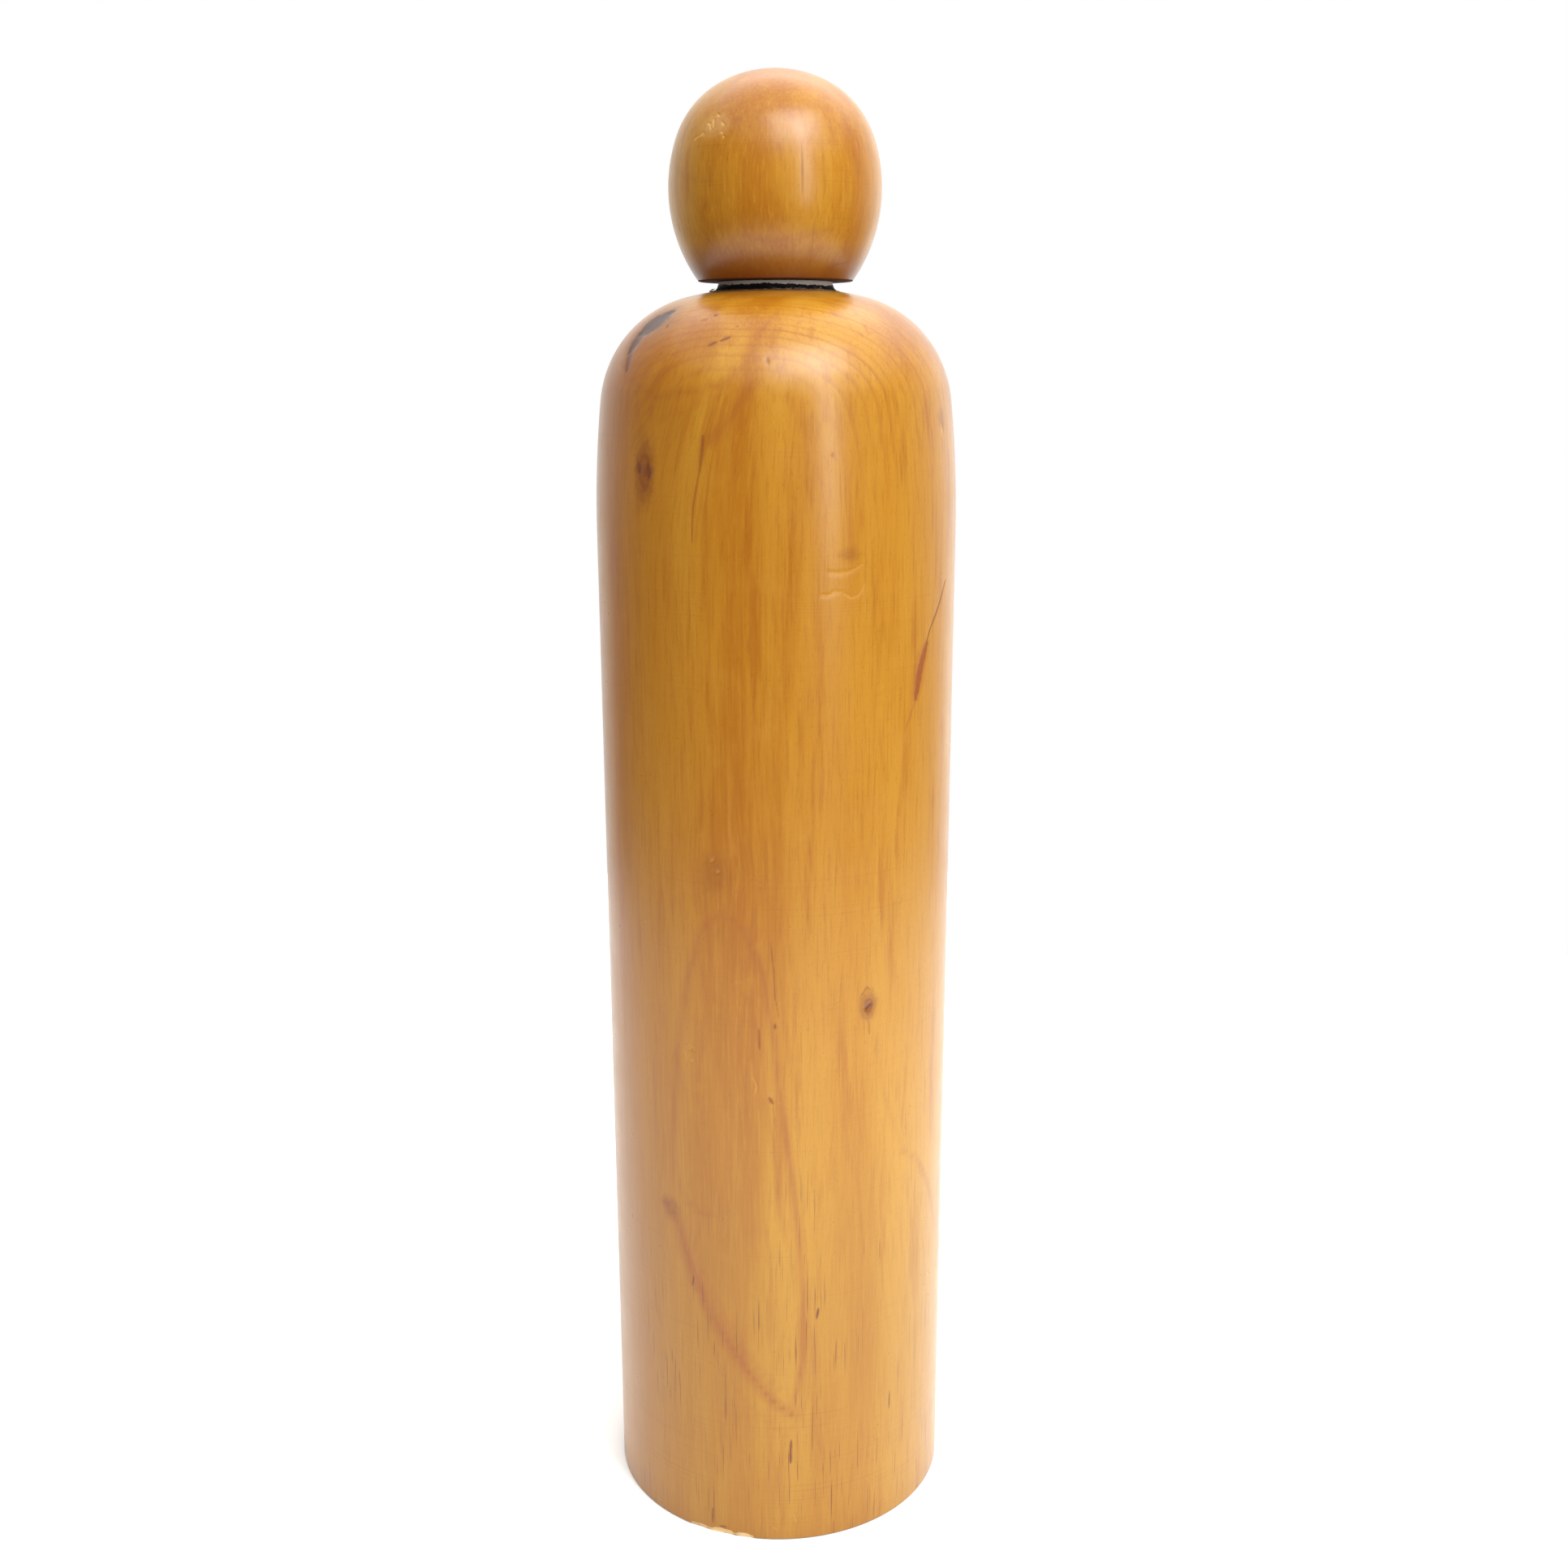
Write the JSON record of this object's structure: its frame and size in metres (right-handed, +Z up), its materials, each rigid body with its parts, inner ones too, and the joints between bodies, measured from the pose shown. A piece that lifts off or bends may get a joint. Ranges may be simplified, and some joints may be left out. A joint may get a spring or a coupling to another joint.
{
  "type": "kokeshi doll",
  "caption": "Large plain turned-wood kokeshi doll: a straight round-shouldered body, a short black collar and a small faceless head that turns on a snapped-in peg.",
  "frame": {"origin": "centre of the foot, on the surface the doll stands on", "axes": "+Z up along the turning axis, -Y towards the side with the dark bark inclusion near the shoulder, +X to the right for someone looking at that side"},
  "size_m": [0.0856, 0.0856, 0.3504],
  "materials": {
    "body_wood": "clear satin lacquer over amber softwood, with knots and a dark bark inclusion",
    "collar_black": "black paint, flaked back to pale bare wood along the top",
    "peg_wood": "bare turned hardwood, waxed",
    "head_wood": "clear satin lacquer over amber softwood with fine lathe lines"
  },
  "bodies": {
    "trunk": {"body": "body_wood", "neck_collar": "collar_black"},
    "head": {"head": "head_wood", "neck_peg": "peg_wood"}
  },
  "joints": [
    {"name": "head_turn", "type": "hinge", "parent": "trunk", "child": "head", "pos_m": [0, 0, 0.3041], "axis": [0, 0, 1], "continuous": true}
  ]
}
